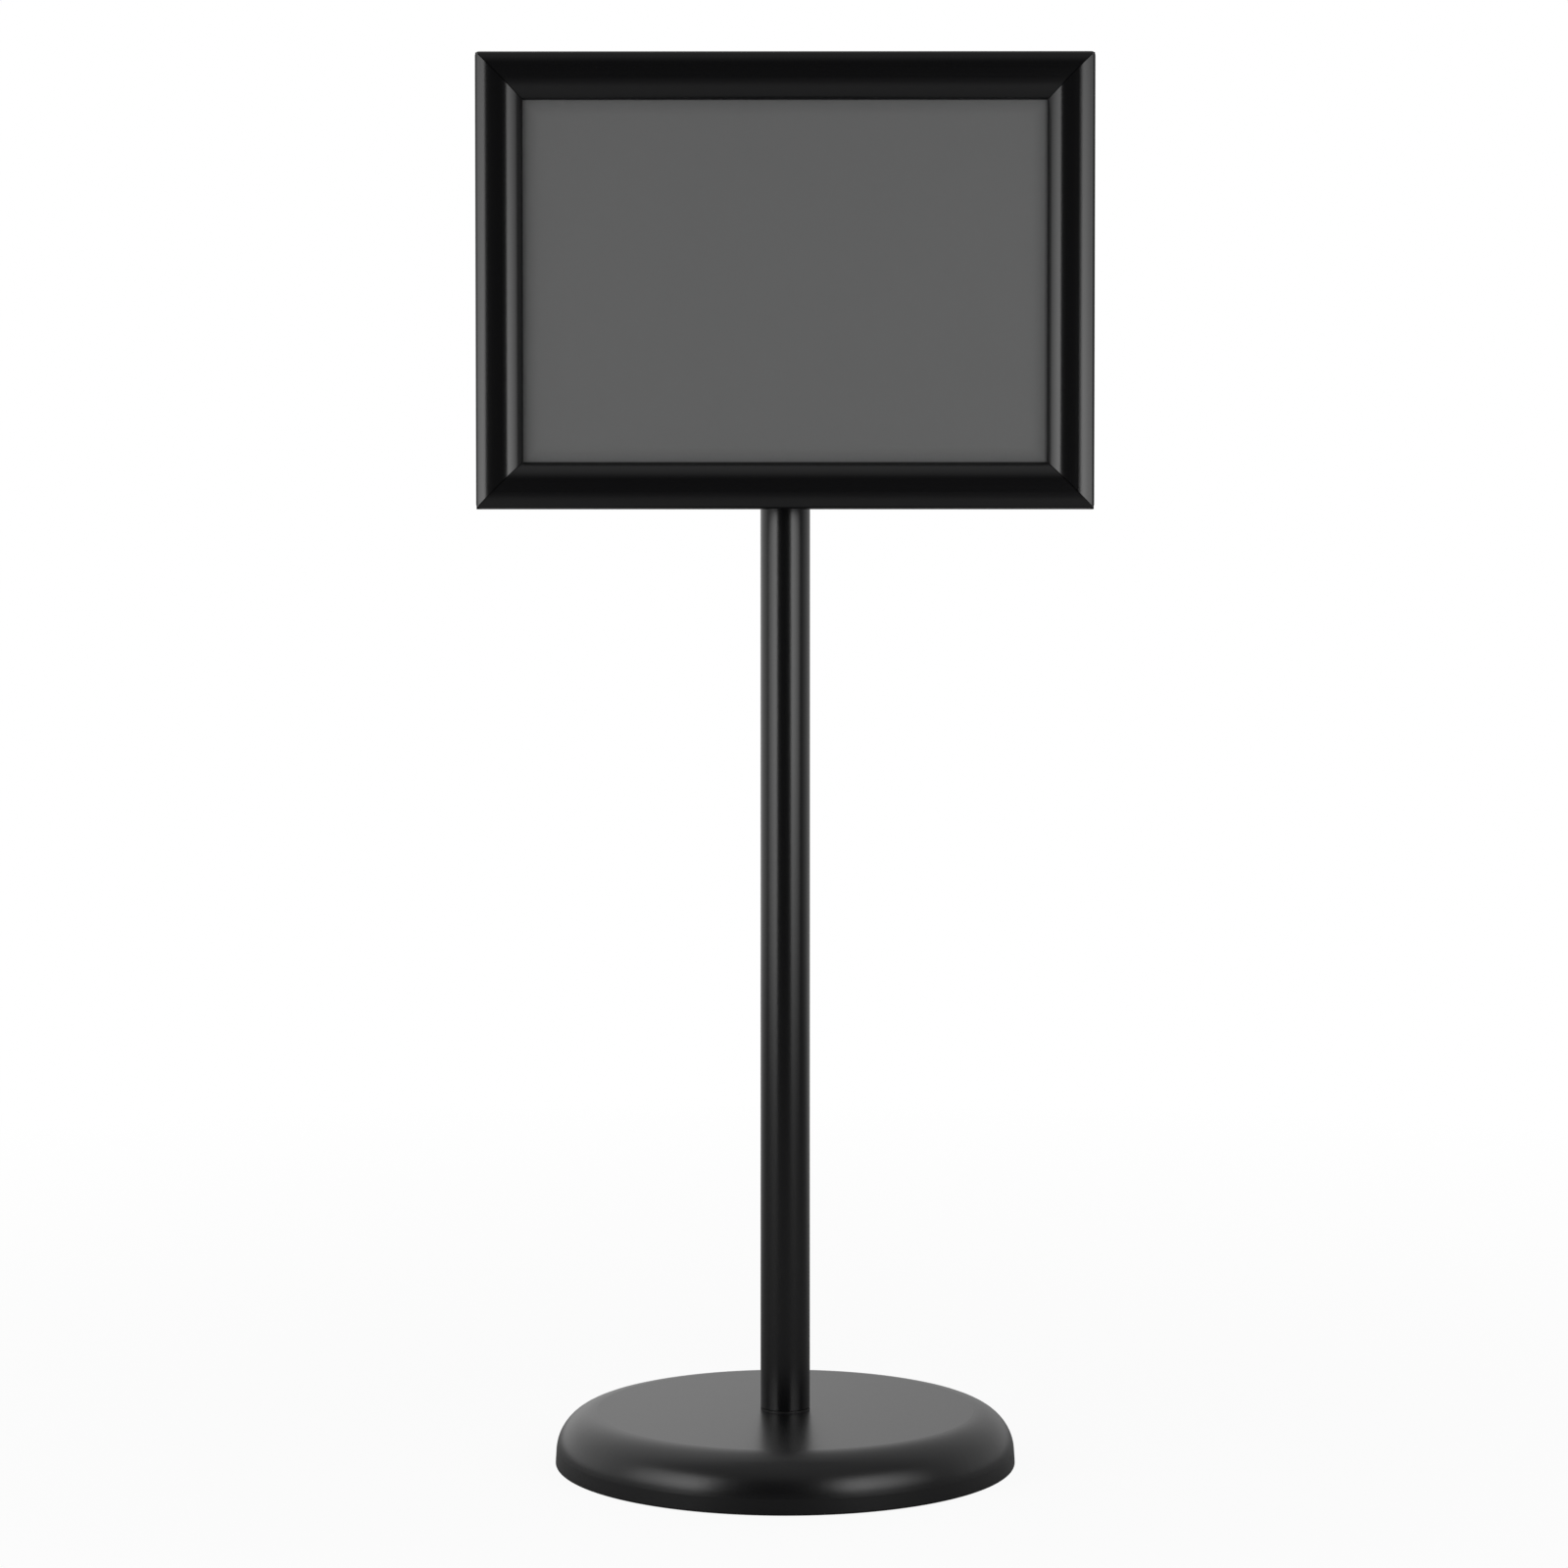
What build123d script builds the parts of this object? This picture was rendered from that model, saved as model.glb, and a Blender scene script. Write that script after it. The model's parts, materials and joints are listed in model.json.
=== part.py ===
"""Floor sign stand: a landscape snap frame that tilts and turns on a round post with a weighted base.

Millimetres, +Z up, the frame faces -Y, and the origin is the centre of the base's underside.
The frame's own pieces are drawn about the frame's centre, on the tilt axis, and lifted into place.
A rail's section is drawn with x running inward from the frame's edge and y forward from its back.
"""

import os
from math import asin, cos, degrees, hypot, radians, sin, tan

from build123d import *

# The sign: one A4 sheet on its side
sheet_width = 297.0
sheet_height = 210.0
sheet_thickness = 0.3
clear_thickness = 0.5
panel_thickness = 2.0

# Snap rails, which hinge on the frame's edge and open forwards
rail_width = 25.0
rail_depth = 12.5
sheet_cover = 9.0
crest_offset = 10.4
crest_radius = 30.0
crest_angle = 3.0
outer_flank_radius = 20.0
inner_flank_radius = 17.0
nose_radius = 0.8
cover_wall = 1.2
claw_wall = 1.0
claw_start_angle = 60.0
claw_end_angle = 192.0
lip_gap = 0.25
mitre_gap = 0.5
rail_opening = 90.0

# Fixed rails, which carry the hinge bead, the corner keys and the panel
bead_radius = 1.5
bead_clearance = 0.08
neck_wall = 1.4
neck_angle = 41.0
claw_gap = 0.4
rail_wall = 1.2
roof_wall = 1.0
shelf_width = 5.0
stop_rise = 0.8
sheet_clearance = 0.5

# Corner keys and their screws
key_thickness = 1.5
key_clearance = 0.1
key_leg = 46.0
key_screw_inset = 30.0
key_screw_radius = 1.45
key_screw_head_radius = 2.8
key_screw_head_height = 1.5
screw_hole_clearance = 0.2

# Snap springs under the snap rails
spring_width = 16.0
spring_inset = 70.0
spring_offset = 11.2
spring_half_span = 1.8
spring_thickness = 0.5
spring_gap = 0.3

# Post and its two inserts
frame_centre_height = 640.0
post_radius = 13.5
post_wall = 1.5
post_edge = 0.4
plug_length = 30.0
ring_thickness = 0.8
head_spigot_length = 32.0
head_collar_height = 2.0
tongue_reach = 26.0

# Tilt joint
tongue_radius = 10.0
pivot_radius = 4.0
pivot_clearance = 0.08
tilt_washer_thickness = 1.0
yoke_thickness = 2.5
yoke_bend_radius = 1.5
yoke_reach = 20.5
ear_radius = 11.0
web_height = 60.0
dome_radius = 9.0
dome_height = 4.2
square_neck = 8.0
clamp_washer_radius = 8.5
clamp_washer_thickness = 1.6

# Clamp knob
knob_radius = 18.0
knob_thickness = 15.0
knob_edge = 1.6
knob_boss_radius = 9.0
knob_boss_length = 5.0
knob_lobes = 6
flute_radius = 7.0
flute_depth = 2.6
insert_radius = 6.0
insert_length = 14.0
thread_clearance = 0.05
knob_cap = 4.0

# Swivel joint
swivel_radius = 4.0
swivel_head_radius = 8.0
swivel_head_height = 3.6
swivel_washer_radius = 12.0
swivel_washer_thickness = 1.0
spring_washer_radius = 7.2
spring_washer_thickness = 2.0
swivel_nut_flats = 13.0
swivel_nut_height = 4.0
bolt_end = 0.8
stop_radius = 2.0
stop_offset = 19.0
stop_clearance = 0.3
swivel_range = 90.0

# Mounting plate behind the panel
plate_radius = 55.0
plate_thickness = 2.0
plate_centre_radius = 29.0
plate_pocket = 6.2
plate_flare = 4.0
plate_screw_circle_radius = 45.0
plate_screw_radius = 2.0
plate_screw_head_radius = 3.8
plate_nut_flats = 7.0
plate_nut_height = 3.2

# Base
base_radius = 125.5
base_height = 29.5
base_shoulder = 22.0
base_draft = 3.6
base_edge_radius = 1.0
base_wall = 1.2
base_lift = 0.6
hem_width = 2.5
pad_thickness = 2.0
pad_hole_radius = 20.0
weight_clearance = 2.0
weight_plate = 9.0
weight_rim_width = 9.0
weight_rim_inset = 22.0
weight_boss_radius = 24.0
weight_rib_width = 7.0
weight_rib_drop = 5.0
weight_ribs = 8
bolt_pocket_radius = 14.0
bolt_pocket_depth = 11.0
base_bolt_radius = 5.0
base_bolt_length = 45.0
base_bolt_flats = 17.0
base_bolt_head = 6.4
base_bolt_clearance = 0.5
base_washer_radius = 10.5
base_washer_thickness = 2.0
base_lock_washer_radius = 8.5
base_lock_washer_thickness = 2.2

# Sizes that follow from those above
frame_width = sheet_width + 2 * (rail_width - sheet_cover)
frame_height = sheet_height + 2 * (rail_width - sheet_cover)
sheet_edge = rail_width - sheet_cover
stack_top = rail_wall + panel_thickness + sheet_thickness + clear_thickness
panel_back = yoke_reach + swivel_washer_thickness + plate_thickness + plate_pocket
frame_back = panel_back - rail_wall
claw_bore = bead_radius + bead_clearance
claw_radius = claw_bore + claw_wall
channel_height = key_thickness + 2 * key_clearance
roof_top = rail_wall + channel_height + roof_wall
stop_outer = sheet_edge - sheet_clearance - rail_wall
post_bottom = base_height + ring_thickness
post_top = frame_centre_height - tongue_reach - head_collar_height
post_bore = post_radius - post_wall
ear_inner = tongue_radius + tilt_washer_thickness
ear_outer = ear_inner + yoke_thickness
knob_start = ear_outer + clamp_washer_thickness
weight_radius = base_radius - base_wall - hem_width - weight_clearance

UP = (Align.CENTER, Align.CENTER, Align.MIN)
FACING = Rot(-90, 0, 0)
ACROSS = Rot(0, 90, 0)
LIFT = Pos(0, 0, frame_centre_height)
SIDES = {"bottom": 0, "left": 90, "top": 180, "right": 270}


def rod(radius, low, high):
    """A cylinder on Z from low to high."""
    return Pos(0, 0, low) * Cylinder(radius, high - low, align=UP)


def tube(radius, bore, low, high):
    return rod(radius, low, high) - rod(bore, low, high)


def hexagon(flats, low, high):
    """A hexagonal bar on Z."""
    outline = RegularPolygon(flats / 2, 6, major_radius=False)
    return Pos(0, 0, low) * extrude(outline, high - low)


def span_angle(reach, radius, crest, angle, end_radius):
    """Slope where a flank arc, tangent to the crest arc, meets an end arc that stops at reach from it."""
    run = reach - end_radius + (radius - crest) * sin(radians(angle))
    return degrees(asin(run / (radius - end_radius)))


outer_angle = span_angle(crest_offset, outer_flank_radius, crest_radius, crest_angle, claw_radius)
nose_angle = span_angle(
    rail_width - crest_offset, inner_flank_radius, crest_radius, crest_angle, nose_radius
)
inside_angle = span_angle(
    rail_width - cover_wall - crest_offset,
    inner_flank_radius - cover_wall,
    crest_radius - cover_wall,
    crest_angle,
    0,
)
outer_drop = crest_radius * (1 - cos(radians(crest_angle)))
flank_drop = outer_flank_radius * (cos(radians(crest_angle)) - cos(radians(outer_angle)))
hinge_inset = claw_radius
hinge_forward = rail_depth - outer_drop - flank_drop - claw_radius * cos(radians(outer_angle))


def arch_edges(depth_in, inner_end):
    """A snap rail's front, or its wall's inside at depth_in: tangent arcs each way from the crest."""
    crest = (crest_offset, rail_depth - depth_in)
    inward = JernArc(crest, (1, 0), crest_radius - depth_in, -crest_angle)
    slope = inner_end - crest_angle
    inner = JernArc(inward @ 1, inward % 1, inner_flank_radius - depth_in, -slope)
    outward = JernArc(crest, (-1, 0), crest_radius - depth_in, crest_angle)
    slope = outer_angle - crest_angle
    outer = JernArc(outward @ 1, outward % 1, outer_flank_radius - depth_in, slope)
    return inward, inner, outward, outer


def snap_rail_section():
    """The cover's arched front, its lip on the sheet and its claw round the hinge bead."""
    hinge = (hinge_inset, hinge_forward)
    lip_foot = stack_top + lip_gap
    front = arch_edges(0, nose_angle)
    back = arch_edges(cover_wall, inside_angle)
    nose = JernArc(front[1] @ 1, front[1] % 1, nose_radius, nose_angle - 90)
    lip = Polyline(nose @ 1, (rail_width, lip_foot), (rail_width - cover_wall, lip_foot), back[1] @ 1)
    end = Line(front[3] @ 1, back[3] @ 1)
    arch = make_face([*front, nose, lip, *back, end])
    sweep = claw_end_angle - claw_start_angle
    ring = CenterArc(hinge, claw_radius, claw_start_angle, sweep)
    claw = make_face([ring, Line(ring @ 0, hinge), Line(ring @ 1, hinge)])
    return arch + claw - Pos(*hinge) * Circle(claw_bore)


def strip(low_x, high_x, low_y, high_y):
    """A rectangle from its corners."""
    size = (high_x - low_x, high_y - low_y)
    return Pos(low_x, low_y) * Rectangle(*size, align=(Align.MIN, Align.MIN))


def fixed_rail_section():
    """Floor and shelf, box channel for the keys, stop for the sheets, and the hinge bead on its neck."""
    hinge = Vector(hinge_inset, hinge_forward)
    floor = strip(0, sheet_edge + shelf_width, 0, rail_wall)
    wall = strip(0, rail_wall, 0, hinge_forward - claw_radius - claw_gap)
    roof = strip(0, stop_outer + rail_wall, roof_top - roof_wall, roof_top)
    stop = strip(stop_outer, stop_outer + rail_wall, 0, stack_top + stop_rise)
    lean = radians(neck_angle)
    side = Vector(sin(lean), cos(lean)) * (neck_wall / 2)
    drop = hinge_forward - roof_top + roof_wall / 2
    foot = hinge + Vector(drop / tan(lean), -drop)
    half_foot = Vector(neck_wall / 2 / sin(lean), 0)
    neck = make_face(Polyline(hinge - side, hinge + side, foot + half_foot, foot - half_foot, close=True))
    return floor + wall + roof + stop + neck + Pos(*hinge) * Circle(bead_radius)


def rail_length(side):
    return frame_width if side in ("bottom", "top") else frame_height


def rail_reach(side):
    """From the frame's centre to the outer edge of that side."""
    return (frame_height if side in ("bottom", "top") else frame_width) / 2


def on_side(side, section, length):
    """Extrudes a section along one side of the frame, centred on it."""
    plane = Plane(origin=(0, -frame_back, -rail_reach(side)), x_dir=(0, 0, 1), z_dir=(1, 0, 0))
    return extrude(plane * section, length / 2, both=True)


def mitre(side, gap):
    """The wedge-ended space of one rail, seen from the front: both ends cut at 45 degrees."""
    half = rail_length(side) / 2 - gap / 2
    edge = -rail_reach(side)
    outline = Polyline(
        (-half - rail_width, edge - rail_width),
        (half + rail_width, edge - rail_width),
        (half - rail_width, edge + rail_width),
        (rail_width - half, edge + rail_width),
        close=True,
    )
    return extrude(Plane.XZ * make_face(outline), frame_back + 2 * rail_width, both=True)


def turned(side, solid):
    """Turns a rail drawn at the bottom to its own side and lifts it to the frame's height."""
    return LIFT * Rot(0, SIDES[side], 0) * solid


def snap_rail(side):
    """A mitred cover, its claw cut back at the ends so that neighbours still clear it when all are open."""
    blank = on_side(side, snap_rail_section(), rail_length(side))
    hinge = Axis((0, -frame_back - hinge_forward, hinge_inset - rail_reach(side)), (1, 0, 0))
    shut = mitre(side, mitre_gap)
    return turned(side, blank & shut & shut.rotate(hinge, -rail_opening))


def key_screw_spots(side):
    """Where the two key screws of a rail go: across the channel's middle, set in from each end."""
    across = (rail_wall + stop_outer) / 2 - rail_reach(side)
    along = rail_length(side) / 2 - key_screw_inset
    return [(-along, across), (along, across)]


def fixed_rail(side):
    rail = on_side(side, fixed_rail_section(), rail_length(side)) & mitre(side, 0)
    hole = FACING * rod(key_screw_radius + screw_hole_clearance, -frame_back - rail_wall, -frame_back)
    for x, z in key_screw_spots(side):
        rail -= Pos(x, 0, z) * hole
    return turned(side, rail)


def corner_keys():
    """Four L-shaped steel plates in the channels, with a tapped hole in each leg."""
    start = rail_wall + key_clearance
    width = stop_outer - rail_wall - 2 * key_clearance
    leg = strip(start, key_leg, start, start + width)
    other = strip(start, start + width, start, key_leg)
    tapped = Circle(key_screw_radius + thread_clearance)
    middle = (rail_wall + stop_outer) / 2
    key = leg + other - Pos(key_screw_inset, middle) * tapped - Pos(middle, key_screw_inset) * tapped
    height = -frame_back - rail_wall - key_clearance
    plate = Pos(0, height, 0) * extrude(Plane.XZ * key, key_thickness)
    corner = Pos(-frame_width / 2, 0, -frame_height / 2) * plate
    left = corner + mirror(corner, Plane.XY)
    return LIFT * (left + mirror(left, Plane.YZ))


def corner_screws():
    """Two pan-head screws a rail, from the back through the floor into the keys."""
    top = -frame_back - rail_wall - key_clearance - key_thickness
    head = rod(key_screw_head_radius, -frame_back, -frame_back + key_screw_head_height)
    screw = FACING * (head + rod(key_screw_radius, top, -frame_back))
    return Part() + [
        turned(side, Pos(x, 0, z) * screw) for side in SIDES for x, z in key_screw_spots(side)
    ]


def snap_springs():
    """Two bowed strips a rail, standing on the channel's roof under the snap rail."""
    rise = rail_depth - cover_wall - spring_gap - roof_top
    outer = ThreePointArc((-spring_half_span, 0), (0, rise), (spring_half_span, 0))
    inner = ThreePointArc(
        (spring_thickness - spring_half_span, 0),
        (0, rise - spring_thickness),
        (spring_half_span - spring_thickness, 0),
    )
    bow = make_face([outer, inner, Line(outer @ 0, inner @ 0), Line(outer @ 1, inner @ 1)])
    section = Pos(spring_offset, roof_top) * bow
    springs = Part()
    for side in SIDES:
        along = rail_length(side) / 2 - spring_inset
        spring = on_side(side, section, spring_width)
        springs += turned(side, Pos(along, 0, 0) * spring)
        springs += turned(side, Pos(-along, 0, 0) * spring)
    return springs


def plate_screw_spots():
    return PolarLocations(plate_screw_circle_radius, 4, start_angle=45)


def plate_screw():
    """A countersunk screw on Z, its head flush with the panel's front."""
    front = -panel_back - panel_thickness
    sink = plate_screw_head_radius - plate_screw_radius
    head = Pos(0, 0, front) * Cone(plate_screw_head_radius, plate_screw_radius, sink, align=UP)
    tip = -panel_back + plate_thickness + plate_nut_height + bolt_end
    return head + rod(plate_screw_radius, front + sink, tip)


def plate_screws():
    return LIFT * FACING * (Part() + [spot * plate_screw() for spot in plate_screw_spots()])


def plate_nuts():
    back = -panel_back + plate_thickness
    nut = hexagon(plate_nut_flats, back, back + plate_nut_height)
    nut -= rod(plate_screw_radius + thread_clearance, back, back + plate_nut_height)
    return LIFT * FACING * (Part() + [spot * nut for spot in plate_screw_spots()])


def sheet(thickness, back):
    """A flat sheet of the sign's size, from back towards the front."""
    outline = Plane.XZ * Rectangle(sheet_width, sheet_height)
    return Pos(0, -back, 0) * extrude(outline, thickness)


def back_panel():
    panel = sheet(panel_thickness, panel_back)
    panel -= FACING * (Part() + [spot * plate_screw() for spot in plate_screw_spots()])
    return LIFT * panel


def insert_sheet():
    return LIFT * sheet(sheet_thickness, panel_back + panel_thickness)


def clear_cover():
    return LIFT * sheet(clear_thickness, panel_back + panel_thickness + sheet_thickness)


def pressed_profile(depth_in):
    """Corner points, from the rim in, of the pressed plate's front or of its back at depth_in behind it."""
    shift = depth_in * (hypot(plate_pocket, plate_flare) - plate_flare) / plate_pocket
    foot = plate_centre_radius + plate_flare + shift
    return [
        (plate_radius, depth_in),
        (foot, depth_in),
        (foot - plate_flare, plate_pocket + depth_in),
        (0, plate_pocket + depth_in),
    ]


def mounting_plate():
    """A disc pressed out to a raised centre, with screw holes, the swivel hole and its stop's arc slot."""
    front = pressed_profile(0)
    back = pressed_profile(plate_thickness)
    outline = make_face(Polyline(*front, *reversed(back), close=True))
    plate = Pos(0, 0, -panel_back) * revolve(Plane.XZ * outline, Axis.Z)
    low = -panel_back
    high = -panel_back + plate_pocket + plate_thickness
    for spot in plate_screw_spots():
        plate -= spot * rod(plate_screw_radius + thread_clearance, low, high)
    plate -= rod(swivel_radius + thread_clearance, low, high)
    slot = SlotArc(
        CenterArc((0, 0), stop_offset, -90 - swivel_range, swivel_range),
        2 * (stop_radius + stop_clearance),
    )
    plate -= Pos(0, 0, low) * extrude(slot, high - low)
    return LIFT * FACING * plate


def swivel_stack():
    """Where the pieces on the swivel bolt start and end along Y, from the plate back to the bolt's end."""
    plate_front = -panel_back + plate_pocket
    web_back = -yoke_reach + yoke_thickness
    nut_start = web_back + spring_washer_thickness
    nut_end = nut_start + swivel_nut_height
    return plate_front, web_back, nut_start, nut_end


def swivel_bolt():
    plate_front, web_back, nut_start, nut_end = swivel_stack()
    head = rod(swivel_head_radius, plate_front - swivel_head_height, plate_front)
    head = fillet(head.edges().sort_by(Axis.Z)[0], swivel_head_height / 3)
    return LIFT * FACING * (head + rod(swivel_radius, plate_front, nut_end + bolt_end))


def swivel_washer():
    front = -yoke_reach - swivel_washer_thickness
    washer = tube(swivel_washer_radius, swivel_radius + thread_clearance, front, -yoke_reach)
    return LIFT * FACING * washer


def swivel_spring_washer():
    plate_front, web_back, nut_start, nut_end = swivel_stack()
    washer = tube(spring_washer_radius, swivel_radius + thread_clearance, web_back, nut_start)
    return LIFT * FACING * washer


def swivel_nut():
    plate_front, web_back, nut_start, nut_end = swivel_stack()
    nut = hexagon(swivel_nut_flats, nut_start, nut_end)
    nut -= rod(swivel_radius + thread_clearance, nut_start, nut_end)
    return LIFT * FACING * nut


def tilt_yoke():
    """A bent steel yoke: two ears beside the tongue, and a tall web with the swivel hole and its stop."""
    ear = Circle(ear_radius) + Pos(-yoke_reach / 2, 0) * Rectangle(yoke_reach, 2 * ear_radius)
    yoke = extrude(Plane.YZ * ear, ear_outer, both=True)
    gap_depth = yoke_reach - yoke_thickness + ear_radius
    gap = Box(2 * ear_inner, gap_depth, 2 * ear_radius, align=(Align.CENTER, Align.MIN, Align.CENTER))
    yoke -= Pos(0, yoke_thickness - yoke_reach, 0) * gap
    outside = yoke.edges().filter_by(Axis.Z).group_by(Axis.Y)[0]
    inside = yoke.edges().filter_by(Axis.Z).group_by(Axis.Y)[1]
    yoke = fillet(outside, yoke_bend_radius + yoke_thickness)
    yoke = fillet(inside, yoke_bend_radius)
    web_width = 2 * (ear_outer - yoke_bend_radius - yoke_thickness) + yoke_thickness
    web = FACING * extrude(Rot(0, 0, 90) * SlotOverall(web_height, web_width), yoke_thickness)
    yoke += Pos(0, -yoke_reach, 0) * web
    stop = rod(stop_radius, -yoke_reach - swivel_washer_thickness - plate_thickness, -yoke_reach)
    yoke += Pos(0, 0, stop_offset) * FACING * stop
    yoke -= FACING * rod(swivel_radius + pivot_clearance, -yoke_reach, yoke_thickness - yoke_reach)
    yoke -= ACROSS * rod(pivot_radius + pivot_clearance, 0, ear_outer)
    square = square_neck + 2 * pivot_clearance
    yoke -= Box(ear_outer, square, square, align=(Align.MAX, Align.CENTER, Align.CENTER))
    return LIFT * yoke


def tilt_bolt():
    """A carriage bolt: domed head, square neck in one ear, plain shank to the knob."""
    crown_radius = (dome_radius**2 + dome_height**2) / (2 * dome_height)
    crown = RadiusArc((0, -dome_height), (dome_radius, 0), -crown_radius)
    cap = make_face([crown, Line((dome_radius, 0), (0, 0)), Line((0, 0), (0, -dome_height))])
    dome = revolve(Plane.XZ * cap, Axis.Z)
    neck = Box(square_neck, square_neck, yoke_thickness, align=UP)
    knob_bottom = knob_start + knob_boss_length + knob_thickness - knob_cap
    shank = rod(pivot_radius, 0, ear_outer + knob_bottom - bolt_end)
    return LIFT * ACROSS * Pos(0, 0, -ear_outer) * (dome + neck + shank)


def tilt_washers():
    """Two nylon friction washers between the tongue and the ears."""
    washer = tube(tongue_radius, pivot_radius + pivot_clearance, tongue_radius, ear_inner)
    pair = washer + mirror(washer, Plane.XY)
    return LIFT * ACROSS * pair


def clamp_washer():
    washer = tube(clamp_washer_radius, pivot_radius + pivot_clearance, ear_outer, knob_start)
    return LIFT * ACROSS * washer


def clamp_knob():
    """A moulded knob with fluted edge and a boss, hollow for its insert."""
    grip_start = knob_start + knob_boss_length
    end = grip_start + knob_thickness
    grip = rod(knob_radius, grip_start, end)
    flute = rod(flute_radius, grip_start, end)
    flute_circle = knob_radius + flute_radius - flute_depth
    grip -= [spot * flute for spot in PolarLocations(flute_circle, knob_lobes)]
    grip = chamfer(grip.faces().sort_by(Axis.Z)[-1].edges(), knob_edge)
    knob = grip + rod(knob_boss_radius, knob_start, grip_start)
    knob -= rod(insert_radius, knob_start, knob_start + insert_length)
    knob -= rod(pivot_radius + thread_clearance, knob_start, end - knob_cap)
    return LIFT * ACROSS * knob


def knob_insert():
    insert = tube(insert_radius, pivot_radius + thread_clearance, knob_start, knob_start + insert_length)
    return LIFT * ACROSS * insert


def post_head():
    """The plug in the post's top: spigot, collar and a round-ended upright tongue, bored for the bolt."""
    spigot = rod(post_bore, post_top - head_spigot_length, post_top)
    collar_top = post_top + head_collar_height
    collar = rod(post_radius, post_top, collar_top)
    collar = chamfer(collar.edges().sort_by(Axis.Z)[-1], head_collar_height / 2)
    side = Plane.YZ * (
        Circle(tongue_radius)
        + Rectangle(2 * tongue_radius, tongue_reach, align=(Align.CENTER, Align.MAX))
    )
    tongue = LIFT * extrude(side, tongue_radius, both=True)
    bore = LIFT * ACROSS * rod(pivot_radius + pivot_clearance, -tongue_radius, tongue_radius)
    return spigot + collar + tongue - bore


def post_tube():
    """A plain steel tube, its outer edges broken at both ends."""
    shell = tube(post_radius, post_bore, post_bottom, post_top)
    return chamfer(shell.edges().filter_by(GeomType.CIRCLE).group_by(SortBy.RADIUS)[-1], post_edge)


def foot_ring():
    bolt_hole = base_bolt_radius + base_bolt_clearance
    return tube(post_radius, bolt_hole, base_height, post_bottom)


def post_plug():
    return tube(post_bore, base_bolt_radius + thread_clearance, post_bottom, post_bottom + plug_length)


def base_profile(inset, bottom):
    """Half outline of the base at inset inside its skin: flat top, round shoulder, drafted wall."""
    top = base_height - inset
    lean = tan(radians(base_draft))
    rim = base_radius - inset
    foot = rim + lean * (base_lift - bottom)
    brow = rim - lean * (top - base_lift)
    outline = make_face(Polyline((0, bottom), (foot, bottom), (brow, top), (0, top), close=True))
    shoulder = outline.vertices().sort_by(Axis.Y)[-2:].sort_by(Axis.X)[-1]
    return fillet(shoulder, base_shoulder - inset)


def base_cover():
    """A spun steel shell with a turned-in hem and a hole for the post's bolt."""
    skin = base_profile(0, base_lift)
    foot = skin.vertices().sort_by(Axis.Y)[:2].sort_by(Axis.X)[-1]
    skin = fillet(foot, base_edge_radius)
    shell = revolve(Plane.XZ * skin, Axis.Z)
    shell -= revolve(Plane.XZ * base_profile(base_wall, base_lift + base_wall), Axis.Z)
    shell -= rod(base_radius - base_wall - hem_width, 0, base_lift + base_wall)
    return shell - rod(base_bolt_radius + base_bolt_clearance, 0, base_height)


def base_weight():
    """A ribbed iron casting: its boss and rim meet the cover, and a pocket takes the bolt's head."""
    top = base_height - base_wall
    plate_top = pad_thickness + weight_plate
    casting = rod(weight_radius, pad_thickness, plate_top)
    rim = weight_radius - weight_rim_inset
    casting += tube(rim, rim - weight_rim_width, plate_top, top)
    casting += rod(weight_boss_radius, plate_top, top)
    rib_length = rim - weight_rim_width / 2
    rib_height = top - weight_rib_drop - plate_top
    rib = Box(rib_length, weight_rib_width, rib_height, align=(Align.MIN, Align.CENTER, Align.MIN))
    casting += [spot * Pos(0, 0, plate_top) * rib for spot in PolarLocations(0, weight_ribs)]
    casting -= rod(bolt_pocket_radius, pad_thickness, pad_thickness + bolt_pocket_depth)
    return casting - rod(base_bolt_radius + base_bolt_clearance, pad_thickness, top)


def base_pad():
    return tube(weight_radius, pad_hole_radius, 0, pad_thickness)


def bolt_stack():
    """Heights of the washers and the head under the bolt pocket's ceiling, from the top down."""
    ceiling = pad_thickness + bolt_pocket_depth
    washer = ceiling - base_washer_thickness
    lock = washer - base_lock_washer_thickness
    return ceiling, washer, lock


def base_washer():
    ceiling, washer, lock = bolt_stack()
    return tube(base_washer_radius, base_bolt_radius + base_bolt_clearance, washer, ceiling)


def base_lock_washer():
    ceiling, washer, lock = bolt_stack()
    return tube(base_lock_washer_radius, base_bolt_radius + base_bolt_clearance, lock, washer)


def base_bolt():
    ceiling, washer, lock = bolt_stack()
    head = hexagon(base_bolt_flats, lock - base_bolt_head, lock)
    return head + rod(base_bolt_radius, lock, lock + base_bolt_length)


PIECES = {
    "base_cover": base_cover,
    "base_weight": base_weight,
    "base_pad": base_pad,
    "base_bolt": base_bolt,
    "base_washer": base_washer,
    "base_lock_washer": base_lock_washer,
    "foot_ring": foot_ring,
    "post_plug": post_plug,
    "post_tube": post_tube,
    "post_head": post_head,
    "tilt_yoke": tilt_yoke,
    "tilt_bolt": tilt_bolt,
    "tilt_washers": tilt_washers,
    "clamp_washer": clamp_washer,
    "clamp_knob": clamp_knob,
    "knob_insert": knob_insert,
    "swivel_bolt": swivel_bolt,
    "swivel_washer": swivel_washer,
    "swivel_spring_washer": swivel_spring_washer,
    "swivel_nut": swivel_nut,
    "mounting_plate": mounting_plate,
    "plate_screws": plate_screws,
    "plate_nuts": plate_nuts,
    "back_panel": back_panel,
    "insert_sheet": insert_sheet,
    "clear_cover": clear_cover,
    "corner_keys": corner_keys,
    "corner_screws": corner_screws,
    "snap_springs": snap_springs,
}

os.makedirs("parts", exist_ok=True)
for name, make in PIECES.items():
    export_step(make(), f"parts/{name}.step")
for side in SIDES:
    export_step(fixed_rail(side), f"parts/fixed_rail_{side}.step")
    export_step(snap_rail(side), f"parts/snap_rail_{side}.step")
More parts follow.
